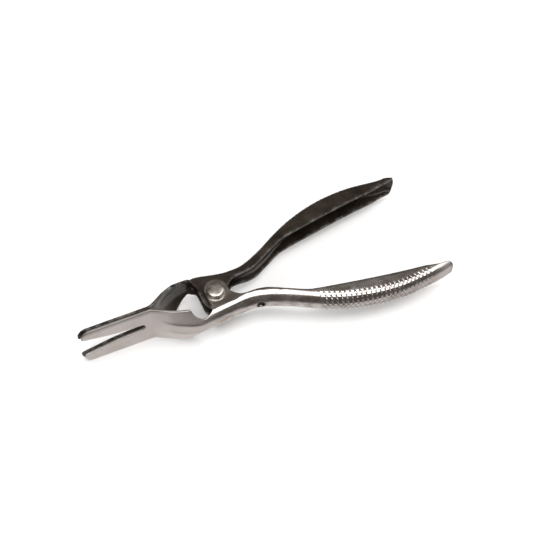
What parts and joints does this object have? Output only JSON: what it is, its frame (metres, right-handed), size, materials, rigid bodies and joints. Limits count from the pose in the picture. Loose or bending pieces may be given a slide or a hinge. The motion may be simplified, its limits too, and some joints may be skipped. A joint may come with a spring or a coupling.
{
  "type": "slotted-jaw spreading pliers",
  "caption": "Pressed-steel spreading pliers: two channel levers on one rivet, with slotted fork plates that open when the handles are squeezed.",
  "frame": {"origin": "under the middle of the tool's bounding box, level with the lower edges of the fork plates", "axes": "+X along the tool from the fork tips to the handle ends, +Y towards the black lever, +Z along the rivet"},
  "size_m": [0.2212, 0.0848, 0.0272],
  "materials": {
    "plated": "bright nickel plate on pressed steel, satin on the fork plate",
    "black": "glossy black-brown oxide over pressed steel",
    "rivet": "domed head, slightly yellowed bright steel"
  },
  "bodies": {
    "plated": {"lever_plated": "plated", "rivet": "rivet"},
    "black": {"lever_black": "black"}
  },
  "joints": [
    {"name": "pivot", "type": "hinge", "parent": "plated", "child": "black", "pos_m": [-0.02765, 0, 0.0136], "axis": [0, 0, -1], "range_deg": [0, 26]}
  ]
}
